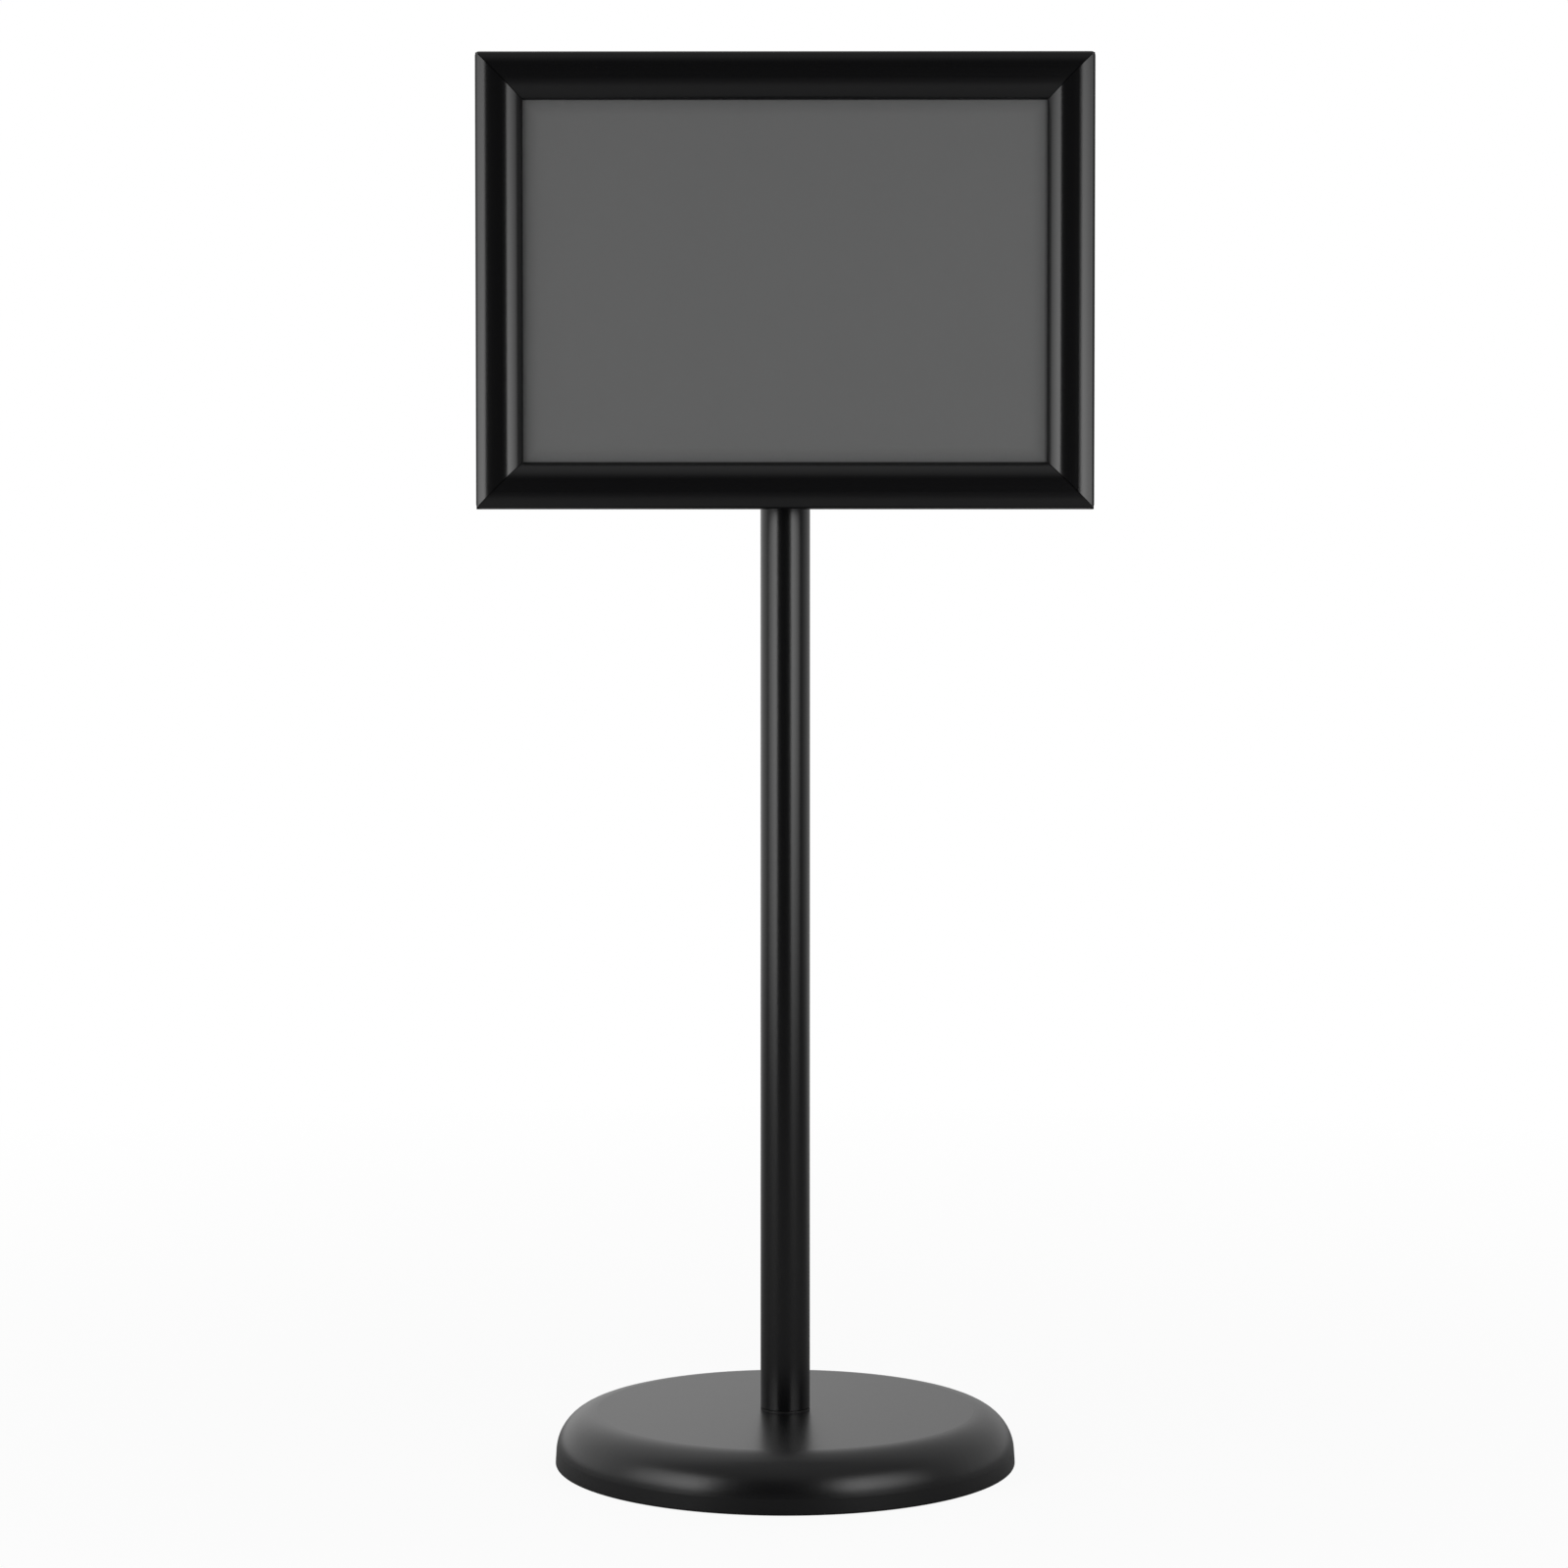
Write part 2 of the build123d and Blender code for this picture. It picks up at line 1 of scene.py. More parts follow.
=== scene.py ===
"""Looks for a floor sign stand: a black snap frame that tilts and turns on a round post with a heavy base.

Metres, +Z up, the frame faces -Y, as in the CAD model. Every finish is procedural and is drawn in Object
coordinates, so that it stays on its piece when the piece moves. A size in millimetres is written times MM.
"""

import json
from math import cos, pi, radians, sin, tan

import bpy
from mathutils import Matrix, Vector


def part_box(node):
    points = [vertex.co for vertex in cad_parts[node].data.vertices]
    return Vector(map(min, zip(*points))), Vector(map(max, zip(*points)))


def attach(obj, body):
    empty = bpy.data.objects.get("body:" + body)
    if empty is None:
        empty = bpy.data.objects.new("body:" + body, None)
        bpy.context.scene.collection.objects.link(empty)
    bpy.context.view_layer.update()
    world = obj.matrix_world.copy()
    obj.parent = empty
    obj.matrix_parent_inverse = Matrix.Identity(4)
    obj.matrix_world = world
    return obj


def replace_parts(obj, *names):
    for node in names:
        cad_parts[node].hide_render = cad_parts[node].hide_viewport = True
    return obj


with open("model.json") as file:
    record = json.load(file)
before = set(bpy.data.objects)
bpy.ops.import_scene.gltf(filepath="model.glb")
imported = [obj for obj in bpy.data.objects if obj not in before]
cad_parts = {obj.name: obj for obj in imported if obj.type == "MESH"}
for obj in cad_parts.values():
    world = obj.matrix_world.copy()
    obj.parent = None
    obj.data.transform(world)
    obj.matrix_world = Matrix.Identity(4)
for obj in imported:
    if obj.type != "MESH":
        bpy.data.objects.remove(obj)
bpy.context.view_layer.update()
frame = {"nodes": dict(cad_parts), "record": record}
MM = 0.001


def srgb(code):
    """The linear colour of a written #rrggbb one."""
    parts = [int(code[i:i + 2], 16) / 255 for i in (1, 3, 5)]
    return tuple(c / 12.92 if c <= 0.04045 else ((c + 0.055) / 1.055) ** 2.4 for c in parts) + (1.0,)


def add(tree, kind, inputs=None, **settings):
    """Adds a node, sets its options, and fills or links each input given by name or number."""
    node = tree.nodes.new(kind)
    for name, value in settings.items():
        setattr(node, name, value)
    for name, value in (inputs or {}).items():
        if isinstance(value, bpy.types.NodeSocket):
            tree.links.new(value, node.inputs[name])
        else:
            node.inputs[name].default_value = value
    return node


def fresh(slot):
    """Empties a slot's material and gives back its tree, its shader and the point being shaded, in metres."""
    tree = bpy.data.materials[slot].node_tree
    tree.nodes.clear()
    shader = add(tree, "ShaderNodeBsdfPrincipled")
    add(tree, "ShaderNodeOutputMaterial", {"Surface": shader.outputs[0]})
    return tree, shader, add(tree, "ShaderNodeTexCoord").outputs["Object"]


def link(tree, shader, **sockets):
    """Links textures to the shader's sockets, whose names are written with _ for a space."""
    for name, socket in sockets.items():
        tree.links.new(socket, shader.inputs[name.replace("_", " ")])


def dress(tree, shader, pattern, dark, light, rough, depth):
    """Drives colour, roughness and relief, deep in mm, from one pattern, and gives back the relief."""
    colour = add(tree, "ShaderNodeMix", {"Factor": pattern}, data_type="RGBA")
    colour.inputs["A"].default_value = srgb(dark)
    colour.inputs["B"].default_value = srgb(light)
    shine = add(tree, "ShaderNodeMapRange", {"Value": pattern, "To Min": rough[0], "To Max": rough[1]})
    relief = add(tree, "ShaderNodeBump", {"Height": pattern, "Distance": depth * MM})
    link(tree, shader, Base_Color=colour.outputs["Result"], Roughness=shine.outputs[0])
    link(tree, shader, Normal=relief.outputs[0])
    return relief


def satin_powder_coat():
    """Satin black powder coat: orange peel makes lamp edges wander, and a drier coat dulls the base."""
    tree, shader, point = fresh("black_powder_coat")
    peel = add(tree, "ShaderNodeTexNoise", {"Vector": point, "Scale": 1 / (2.2 * MM), "Detail": 1.0})
    grit = add(tree, "ShaderNodeTexNoise", {"Vector": point, "Scale": 1 / (0.35 * MM), "Detail": 2.0})
    deep = add(tree, "ShaderNodeBump", {"Height": peel.outputs[0], "Distance": 0.012 * MM})
    fine = dress(tree, shader, grit.outputs[0], "#08080a", "#0d0d0e", (0.2, 0.3), 0.003)
    tree.links.new(deep.outputs[0], fine.inputs["Normal"])
    just_over_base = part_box("base_cover")[1].z + 0.1 * MM
    drier_by = 0.06
    height = add(tree, "ShaderNodeSeparateXYZ", {0: point}).outputs["Z"]
    on_base = add(tree, "ShaderNodeMath", {0: height, 1: just_over_base}, operation="LESS_THAN")
    shine = shader.inputs["Roughness"].links[0].from_socket
    dry = {0: on_base.outputs[0], 1: drier_by, 2: shine}
    link(tree, shader, Roughness=add(tree, "ShaderNodeMath", dry, operation="MULTIPLY_ADD").outputs[0])


def coated_extrusion():
    """Black coat on extruded rails: die lines show through and draw the lamps out across each rail."""
    tree, shader, point = fresh("black_aluminium")
    tall_low, tall_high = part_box("fixed_rail_left")
    wide_low, wide_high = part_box("fixed_rail_bottom")
    middle = (tall_low + tall_high) / 2
    # A point is on an upright rail where it lies further out in X than in Z, beyond the frame's extra width.
    beyond = (wide_high.x - wide_low.x - tall_high.z + tall_low.z) / 2
    spot = add(tree, "ShaderNodeVectorMath", {0: point, 1: (0, 0, middle.z)}, operation="SUBTRACT")
    apart = add(tree, "ShaderNodeVectorMath", {0: spot.outputs[0]}, operation="ABSOLUTE")
    axes = add(tree, "ShaderNodeSeparateXYZ", {0: apart.outputs[0]})
    across = add(tree, "ShaderNodeMath", {0: axes.outputs["X"], 1: axes.outputs["Z"]}, operation="SUBTRACT")
    upright = add(tree, "ShaderNodeMath", {0: across.outputs[0], 1: beyond}, operation="GREATER_THAN")
    grain = add(tree, "ShaderNodeMix", {"Factor": upright.outputs[0]}, data_type="VECTOR")
    along, across_grain = 1 / (250 * MM), 1 / (0.2 * MM)
    grain.inputs["A"].default_value = (along, across_grain, across_grain)
    grain.inputs["B"].default_value = (across_grain, across_grain, along)
    drawn = add(tree, "ShaderNodeVectorMath", {0: point, 1: grain.outputs["Result"]}, operation="MULTIPLY")
    lines = add(tree, "ShaderNodeTexNoise", {"Vector": drawn.outputs[0], "Scale": 1.0, "Detail": 3.0})
    dress(tree, shader, lines.outputs[0], "#0d0d0e", "#121213", (0.15, 0.24), 0.002)


def coated_die_casting():
    """Black die casting: a soft flow pattern from the mould under a thin satin coat."""
    tree, shader, point = fresh("black_die_cast")
    flow = add(tree, "ShaderNodeTexNoise", {"Vector": point, "Scale": 1 / (9 * MM), "Detail": 5.0})
    flow.inputs["Distortion"].default_value = 1.2
    grain = add(tree, "ShaderNodeTexNoise", {"Vector": point, "Scale": 1 / (0.7 * MM), "Detail": 2.0})
    fine = add(tree, "ShaderNodeBump", {"Height": grain.outputs[0], "Distance": 0.01 * MM})
    relief = dress(tree, shader, flow.outputs[0], "#101011", "#1a1a1b", (0.34, 0.5), 0.05)
    tree.links.new(fine.outputs[0], relief.inputs["Normal"])


def sand_cast_iron():
    """Raw grey iron: a sandy skin pitted by the mould, with brown blotches where it begins to rust."""
    tree, shader, point = fresh("cast_iron")
    sand = add(tree, "ShaderNodeTexNoise", {"Vector": point, "Scale": 1 / (1.3 * MM), "Detail": 5.0})
    pits = add(tree, "ShaderNodeTexVoronoi", {"Vector": point, "Scale": 1 / (4 * MM)})
    bowl = add(tree, "ShaderNodeBump", {"Height": pits.outputs["Distance"], "Distance": 0.25 * MM})
    relief = dress(tree, shader, sand.outputs[0], "#232323", "#3b3a39", (0.6, 0.85), 0.2)
    tree.links.new(bowl.outputs[0], relief.inputs["Normal"])
    blotch = add(tree, "ShaderNodeTexNoise", {"Vector": point, "Scale": 1 / (30 * MM), "Detail": 5.0})
    rust = add(tree, "ShaderNodeMapRange", {"Value": blotch.outputs[0], "From Min": 0.52, "From Max": 0.7})
    iron = shader.inputs["Base Color"].links[0].from_socket
    colour = add(tree, "ShaderNodeMix", {"Factor": rust.outputs[0]}, data_type="RGBA")
    colour.inputs["B"].default_value = srgb("#4a3224")
    tree.links.new(iron, colour.inputs["A"])
    link(tree, shader, Base_Color=colour.outputs["Result"])


def moulded_rubber():
    """Moulded rubber sheet: dull black, dusted by a fine bloom."""
    tree, shader, point = fresh("rubber")
    bloom = add(tree, "ShaderNodeTexNoise", {"Vector": point, "Scale": 1 / (0.8 * MM), "Detail": 4.0})
    dress(tree, shader, bloom.outputs[0], "#121212", "#1d1d1d", (0.75, 0.9), 0.03)


def moulded_nylon():
    """Black glass-filled nylon: short fibres under the skin leave a faint dry fleck."""
    tree, shader, point = fresh("black_nylon")
    fibres = add(tree, "ShaderNodeTexNoise", {"Vector": point, "Scale": 1 / (0.6 * MM), "Detail": 6.0})
    fibres.inputs["Distortion"].default_value = 2.0
    dress(tree, shader, fibres.outputs[0], "#0f0f10", "#1a1a1b", (0.35, 0.5), 0.01)


def natural_nylon():
    """Uncoloured nylon: a creamy, slightly see-through plastic, so that its edges glow a little."""
    tree, shader, point = fresh("white_nylon")
    shader.inputs["Subsurface Weight"].default_value = 0.25
    shader.inputs["Subsurface Radius"].default_value = (1.0, 0.9, 0.7)
    shader.inputs["Subsurface Scale"].default_value = 1.0 * MM
    cloud = add(tree, "ShaderNodeTexNoise", {"Vector": point, "Scale": 1 / (2.5 * MM), "Detail": 4.0})
    dress(tree, shader, cloud.outputs[0], "#d6d3c8", "#e4e1d8", (0.4, 0.5), 0.01)


def spark_textured_abs():
    """Black ABS from a spark-eroded mould: an even stipple breaks up every highlight."""
    tree, shader, point = fresh("black_abs")
    stipple = add(tree, "ShaderNodeTexVoronoi", {"Vector": point, "Scale": 1 / (0.5 * MM)})
    dress(tree, shader, stipple.outputs["Distance"], "#111112", "#19191a", (0.4, 0.55), 0.03)


def bright_zinc_plate():
    """Bright zinc on steel: cool mirror-like metal, clouded by handling, with a trace of blue and straw."""
    tree, shader, point = fresh("zinc_steel")
    shader.inputs["Metallic"].default_value = 1.0
    cloud = add(tree, "ShaderNodeTexNoise", {"Vector": point, "Scale": 1 / (4 * MM), "Detail": 4.0})
    scratch = {"Vector": point, "Scale": 1 / (0.4 * MM), "Detail": 2.0, "Distortion": 3.0}
    scratch = add(tree, "ShaderNodeTexNoise", scratch)
    fine = add(tree, "ShaderNodeBump", {"Height": scratch.outputs[0], "Distance": 0.004 * MM})
    relief = dress(tree, shader, cloud.outputs[0], "#a4aab3", "#c8c6bf", (0.22, 0.4), 0.006)
    tree.links.new(fine.outputs[0], relief.inputs["Normal"])


def hot_dip_galvanising():
    """Galvanised steel: flat zinc crystals about 5 mm across, each of its own grey and gloss."""
    tree, shader, point = fresh("galvanised_steel")
    shader.inputs["Metallic"].default_value = 1.0
    crystals = add(tree, "ShaderNodeTexVoronoi", {"Vector": point, "Scale": 1 / (5 * MM)})
    dress(tree, shader, crystals.outputs["Color"], "#868c90", "#b8bbbd", (0.3, 0.5), 0.004)


def blued_spring_steel():
    """Hardened strip: dark blue-grey oxide with straw at its thinnest, under an oily shine."""
    tree, shader, point = fresh("spring_steel")
    shader.inputs["Metallic"].default_value = 1.0
    oxide = add(tree, "ShaderNodeTexNoise", {"Vector": point, "Scale": 1 / (6 * MM), "Detail": 3.0})
    dress(tree, shader, oxide.outputs[0], "#474c57", "#6e6a62", (0.22, 0.35), 0.003)


def turned_brass():
    """Turned brass: fine tool rings, 0.4 mm apart about the knob's axis, catch a warm light."""
    tree, shader, point = fresh("brass")
    shader.inputs["Metallic"].default_value = 1.0
    band_at_scale_one = 0.314
    rings = {"Vector": point, "Scale": band_at_scale_one / (0.4 * MM), "Distortion": 0.4, "Detail": 1.0}
    rings = add(tree, "ShaderNodeTexWave", rings, wave_type="BANDS", bands_direction="X")
    dress(tree, shader, rings.outputs["Fac"], "#a27e42", "#c4a264", (0.22, 0.35), 0.008)


def polystyrene_sheet():
    """Extruded polystyrene: matt grey plastic with a fine even tooth and faint long streaks."""
    tree, shader, point = fresh("grey_polystyrene")
    # The pattern's cells in a metre, so that a streak is about 83 mm long and 1.7 mm wide.
    along, across = 12, 600
    drawn = {0: point, 1: (along, across, across)}
    drawn = add(tree, "ShaderNodeVectorMath", drawn, operation="MULTIPLY")
    streak = add(tree, "ShaderNodeTexNoise", {"Vector": drawn.outputs[0], "Scale": 1.0, "Detail": 3.0})
    tooth = add(tree, "ShaderNodeTexNoise", {"Vector": point, "Scale": 1 / (0.5 * MM), "Detail": 2.0})
    fine = add(tree, "ShaderNodeBump", {"Height": tooth.outputs[0], "Distance": 0.012 * MM})
    relief = dress(tree, shader, streak.outputs[0], "#626364", "#68696a", (0.48, 0.6), 0.004)
    tree.links.new(fine.outputs[0], relief.inputs["Normal"])


def uncoated_card():
    """Plain grey card: felted fibres dull its face, and painted shade darkens it in a soft band along the
    rails' lips, where they shade it.
    """
    tree, shader, point = fresh("grey_card")
    shader.inputs["Specular IOR Level"].default_value = 0.3
    felt = {"Vector": point, "Scale": 1 / (0.6 * MM), "Detail": 6.0, "Distortion": 2.5}
    felt = add(tree, "ShaderNodeTexNoise", felt)
    dress(tree, shader, felt.outputs[0], "#616161", "#656565", (0.7, 0.85), 0.01)
    # Painted shade: the card's colour dims to 0.69 at the rails' lips and comes back to full within 8 mm on
    # either side. It stands in for the lips' shadow and stays when a rail is opened.
    lip_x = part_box("snap_rail_right")[0].x
    top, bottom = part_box("snap_rail_top")[0].z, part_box("snap_rail_bottom")[1].z
    painted_shade_width, painted_shade_darkest = 8 * MM, 0.69
    spot = {0: point, 1: (0, 0, (top + bottom) / 2)}
    spot = add(tree, "ShaderNodeVectorMath", spot, operation="SUBTRACT")
    apart = add(tree, "ShaderNodeVectorMath", {0: spot.outputs[0]}, operation="ABSOLUTE")
    room = {0: (lip_x, 0, (top - bottom) / 2), 1: apart.outputs[0]}
    room = add(tree, "ShaderNodeVectorMath", room, operation="SUBTRACT")
    room = add(tree, "ShaderNodeSeparateXYZ", {0: room.outputs[0]}).outputs
    off_lip = add(tree, "ShaderNodeMath", {0: room["X"], 1: room["Z"]}, operation="MINIMUM")
    off_lip = add(tree, "ShaderNodeMath", {0: off_lip.outputs[0]}, operation="ABSOLUTE")
    shade = {"Value": off_lip.outputs[0], "From Min": 0.0, "From Max": painted_shade_width}
    shade = add(tree, "ShaderNodeMapRange", {**shade, "To Min": painted_shade_darkest, "To Max": 1.0})
    tone = {0: shader.inputs["Base Color"].links[0].from_socket, "Scale": shade.outputs[0]}
    link(tree, shader, Base_Color=add(tree, "ShaderNodeVectorMath", tone, operation="SCALE").outputs[0])


def clear_film():
    """Clear anti-glare film: what lies under it shows through, and only a soft gloss sits on top."""
    tree, shader, point = fresh("clear_pvc")
    ripple = add(tree, "ShaderNodeTexNoise", {"Vector": point, "Scale": 1 / (45 * MM), "Detail": 1.0})
    bump = add(tree, "ShaderNodeBump", {"Height": ripple.outputs[0], "Distance": 0.05 * MM})
    shader.inputs["Base Color"].default_value = srgb("#f4f6f6")
    shader.inputs["Roughness"].default_value = 0.3
    shader.inputs["Alpha"].default_value = 0.06
    link(tree, shader, Normal=bump.outputs[0])


satin_powder_coat()
coated_extrusion()
coated_die_casting()
sand_cast_iron()
moulded_rubber()
moulded_nylon()
natural_nylon()
spark_textured_abs()
bright_zinc_plate()
hot_dip_galvanising()
blued_spring_steel()
turned_brass()
polystyrene_sheet()
uncoated_card()
clear_film()


# The rotation that lays a shape drawn along Z along each axis.
TURNS = {"X": (0, pi / 2, 0), "Y": (-pi / 2, 0, 0), "Z": (0, 0, 0)}


def mesh_tree(name, sizes):
    """A new geometry tree: a mesh and a material in, one named number in for each size, and a mesh out."""
    tree = bpy.data.node_groups.new(name, "GeometryNodeTree")
    tree.interface.new_socket("Geometry", in_out="INPUT", socket_type="NodeSocketGeometry")
    tree.interface.new_socket("Material", in_out="INPUT", socket_type="NodeSocketMaterial")
    for size in sizes:
        tree.interface.new_socket(size, in_out="INPUT", socket_type="NodeSocketFloat")
    tree.interface.new_socket("Geometry", in_out="OUTPUT", socket_type="NodeSocketGeometry")
    given = add(tree, "NodeGroupInput").outputs
    weld = 0.002 * MM
    joined = {"Geometry": given["Geometry"], "Distance": weld}
    joined = add(tree, "GeometryNodeMergeByDistance", joined)
    return tree, given, joined.outputs[0]


def close_tree(tree, given, geometry):
    """Ends a tree in plain geometry that wears the piece's material."""
    plain = add(tree, "GeometryNodeRealizeInstances", {0: geometry})
    dressed = {"Geometry": plain.outputs[0], "Material": given["Material"]}
    dressed = add(tree, "GeometryNodeSetMaterial", dressed)
    add(tree, "NodeGroupOutput", {0: dressed.outputs[0]})
    return tree


def cut_out(tree, given, solids, cutters):
    """Takes the cutters out of the solids, and ends the tree."""
    parts = {"Mesh 1": solids, "Mesh 2": cutters}
    cut = add(tree, "GeometryNodeMeshBoolean", parts, operation="DIFFERENCE", solver="EXACT")
    return close_tree(tree, given, cut.outputs[0])


def at_ends(tree, solids, far, shape, turn):
    """Puts a turned shape on each separate solid, amid its box but at the far end along one axis."""
    island = add(tree, "GeometryNodeInputMeshIsland").outputs["Island Index"]
    place = {0: add(tree, "GeometryNodeInputPosition").outputs[0], 1: island}
    reach = add(tree, "GeometryNodeFieldMinAndMax", place, data_type="FLOAT_VECTOR", domain="POINT").outputs
    middle = add(tree, "ShaderNodeVectorMath", {0: reach["Min"], 1: reach["Max"]})
    middle = add(tree, "ShaderNodeVectorMath", {0: middle.outputs[0], "Scale": 0.5}, operation="SCALE")
    middle = add(tree, "ShaderNodeSeparateXYZ", {0: middle.outputs[0]}).outputs
    high = add(tree, "ShaderNodeSeparateXYZ", {0: reach["Max"]}).outputs
    spot = {axis: (high if axis == far else middle)[axis] for axis in "XYZ"}
    spot = add(tree, "ShaderNodeCombineXYZ", spot)
    # Counted up within each solid, its first corner is number 1, and only that one is kept.
    order = add(tree, "GeometryNodeAccumulateField", {0: 1.0, 1: island}, data_type="FLOAT", domain="POINT")
    first = add(tree, "FunctionNodeCompare", {0: order.outputs["Leading"], 1: 1.5}, operation="LESS_THAN")
    points = {"Mesh": solids, "Selection": first.outputs[0], "Position": spot.outputs[0]}
    points = add(tree, "GeometryNodeMeshToPoints", points)
    copies = {"Points": points.outputs[0], "Instance": shape, "Rotation": turn}
    copies = add(tree, "GeometryNodeInstanceOnPoints", copies)
    return add(tree, "GeometryNodeRealizeInstances", {0: copies.outputs[0]}).outputs[0]


def cross_recess():
    """Cuts a cross into the back end of every solid, as a driver's recess."""
    tree, given, solids = mesh_tree("cross_recess", ("Span", "Width", "Depth"))
    deep = add(tree, "ShaderNodeMath", {0: given["Depth"], 1: 2.0}, operation="MULTIPLY")
    slots = []
    for across, up in (("Span", "Width"), ("Width", "Span")):
        size = {"X": given[across], "Y": deep.outputs[0], "Z": given[up]}
        cube = add(tree, "GeometryNodeMeshCube", {"Size": add(tree, "ShaderNodeCombineXYZ", size).outputs[0]})
        slots.append(cube.outputs[0])
    cross = add(tree, "GeometryNodeMeshBoolean", {"Mesh 2": slots[0]}, operation="UNION", solver="EXACT")
    tree.links.new(slots[1], cross.inputs["Mesh 2"])
    return cut_out(tree, given, solids, at_ends(tree, solids, "Y", cross.outputs[0], (0, 0, 0)))


def chamfer_back():
    """Turns a 30 degree chamfer on the back end of every solid, as on a nut or a bolt's end."""
    tree, given, solids = mesh_tree("chamfer_back", ("Face Radius", "Length"))
    flare_per_length = 3**0.5
    flare = {0: given["Length"], 1: flare_per_length}
    flare = add(tree, "ShaderNodeMath", flare, operation="MULTIPLY")
    wide = add(tree, "ShaderNodeMath", {0: flare.outputs[0], 1: given["Face Radius"]}, operation="ADD")
    sizes = {"Vertices": 48, "Radius Top": given["Face Radius"], "Radius Bottom": wide.outputs[0]}
    cone = add(tree, "GeometryNodeMeshCone", {**sizes, "Depth": given["Length"]})
    down = add(tree, "ShaderNodeMath", {0: given["Length"], 1: -1.0}, operation="MULTIPLY")
    move = add(tree, "ShaderNodeCombineXYZ", {"Z": down.outputs[0]}).outputs[0]
    cone = add(tree, "GeometryNodeTransform", {"Geometry": cone.outputs["Mesh"], "Translation": move})
    cones = at_ends(tree, solids, "Y", cone.outputs[0], TURNS["Y"])
    kept = add(tree, "GeometryNodeMeshBoolean", {"Mesh 2": solids}, operation="INTERSECT", solver="EXACT")
    tree.links.new(cones, kept.inputs["Mesh 2"])
    return close_tree(tree, given, kept.outputs[0])


def screw_thread(axis):
    """Cuts a 60 degree thread into every solid, from its far end along an axis back over a length."""
    tree, given, solids = mesh_tree("thread_" + axis.lower(), ("Radius", "Pitch", "Length"))
    turns = add(tree, "ShaderNodeMath", {0: given["Length"], 1: given["Pitch"]}, operation="DIVIDE")
    path = {"Resolution": 16, "Rotations": turns.outputs[0], "Height": given["Length"]}
    path = {**path, "Start Radius": given["Radius"], "End Radius": given["Radius"]}
    path = add(tree, "GeometryNodeCurveSpiral", path)
    upright = add(tree, "GeometryNodeSetCurveNormal", {"Curve": path.outputs[0]}, mode="Z_UP")
    depth_per_pitch = 0.61
    deep = add(tree, "ShaderNodeMath", {0: given["Pitch"], 1: depth_per_pitch}, operation="MULTIPLY")
    tooth = add(tree, "GeometryNodeCurvePrimitiveCircle", {"Resolution": 4, "Radius": deep.outputs[0]})
    flat = {"Geometry": tooth.outputs[0], "Scale": (1.0, tan(radians(30)), 1.0)}
    tooth = add(tree, "GeometryNodeTransform", flat)
    groove = {"Curve": upright.outputs[0], "Profile Curve": tooth.outputs[0], "Fill Caps": True}
    groove = add(tree, "GeometryNodeCurveToMesh", groove)
    back = add(tree, "ShaderNodeMath", {0: given["Pitch"], 1: given["Length"]}, operation="SUBTRACT")
    back = add(tree, "ShaderNodeCombineXYZ", {"Z": back.outputs[0]})
    groove = {"Geometry": groove.outputs[0], "Translation": back.outputs[0]}
    groove = add(tree, "GeometryNodeTransform", groove)
    return cut_out(tree, given, solids, at_ends(tree, solids, axis, groove.outputs[0], TURNS[axis]))


def grip_rings():
    """Cuts round grooves, one outside the other, into the underside of a pad that lies on the floor."""
    tree, given, solids = mesh_tree("grip_rings", ("First Radius", "Pitch", "Groove Radius"))
    tree.interface.new_socket("Rings", in_out="INPUT", socket_type="NodeSocketInt")
    line = add(tree, "GeometryNodeMeshLine", {"Count": given["Rings"], "Offset": (0, 0, 0)})
    number = add(tree, "GeometryNodeInputIndex").outputs[0]
    radius = {0: number, 1: given["Pitch"], 2: given["First Radius"]}
    radius = add(tree, "ShaderNodeMath", radius, operation="MULTIPLY_ADD")
    circle = add(tree, "GeometryNodeCurvePrimitiveCircle", {"Resolution": 96, "Radius": 1.0})
    rings = {"Points": line.outputs[0], "Instance": circle.outputs[0], "Scale": radius.outputs[0]}
    rings = add(tree, "GeometryNodeInstanceOnPoints", rings)
    rings = add(tree, "GeometryNodeRealizeInstances", {0: rings.outputs[0]})
    tooth = {"Resolution": 6, "Radius": given["Groove Radius"]}
    tooth = add(tree, "GeometryNodeCurvePrimitiveCircle", tooth)
    rings = {"Curve": rings.outputs[0], "Profile Curve": tooth.outputs[0]}
    rings = add(tree, "GeometryNodeCurveToMesh", rings)
    under_floor = (0, 0, -0.1 * MM)
    rings = {"Geometry": rings.outputs[0], "Translation": under_floor}
    rings = add(tree, "GeometryNodeTransform", rings)
    return cut_out(tree, given, solids, rings.outputs[0])


def split_ring():
    """Saws a spring washer through at a slant, on one side of its hole."""
    tree, given, solids = mesh_tree("split_ring", ("Gap", "Reach", "Thickness"))
    tree.interface.new_socket("Turn", in_out="INPUT", socket_type="NodeSocketVector")
    box = add(tree, "GeometryNodeBoundBox", {0: solids})
    middle = add(tree, "ShaderNodeVectorMath", {0: box.outputs["Min"], 1: box.outputs["Max"]})
    middle = add(tree, "ShaderNodeVectorMath", {0: middle.outputs[0], "Scale": 0.5}, operation="SCALE")
    through = add(tree, "ShaderNodeMath", {0: given["Thickness"], 1: 2.0}, operation="MULTIPLY")
    size = {"X": given["Gap"], "Y": through.outputs[0], "Z": given["Reach"]}
    cube = add(tree, "GeometryNodeMeshCube", {"Size": add(tree, "ShaderNodeCombineXYZ", size).outputs[0]})
    out = add(tree, "ShaderNodeMath", {0: given["Reach"], 1: 0.5}, operation="MULTIPLY")
    out = add(tree, "ShaderNodeCombineXYZ", {"Z": out.outputs[0]})
    slant = (0, 0, radians(25))
    blade = {"Geometry": cube.outputs[0], "Translation": out.outputs[0], "Rotation": slant}
    blade = add(tree, "GeometryNodeTransform", blade)
    place = {"Geometry": blade.outputs[0], "Translation": middle.outputs[0], "Rotation": given["Turn"]}
    blade = add(tree, "GeometryNodeTransform", place)
    return cut_out(tree, given, solids, blade.outputs[0])


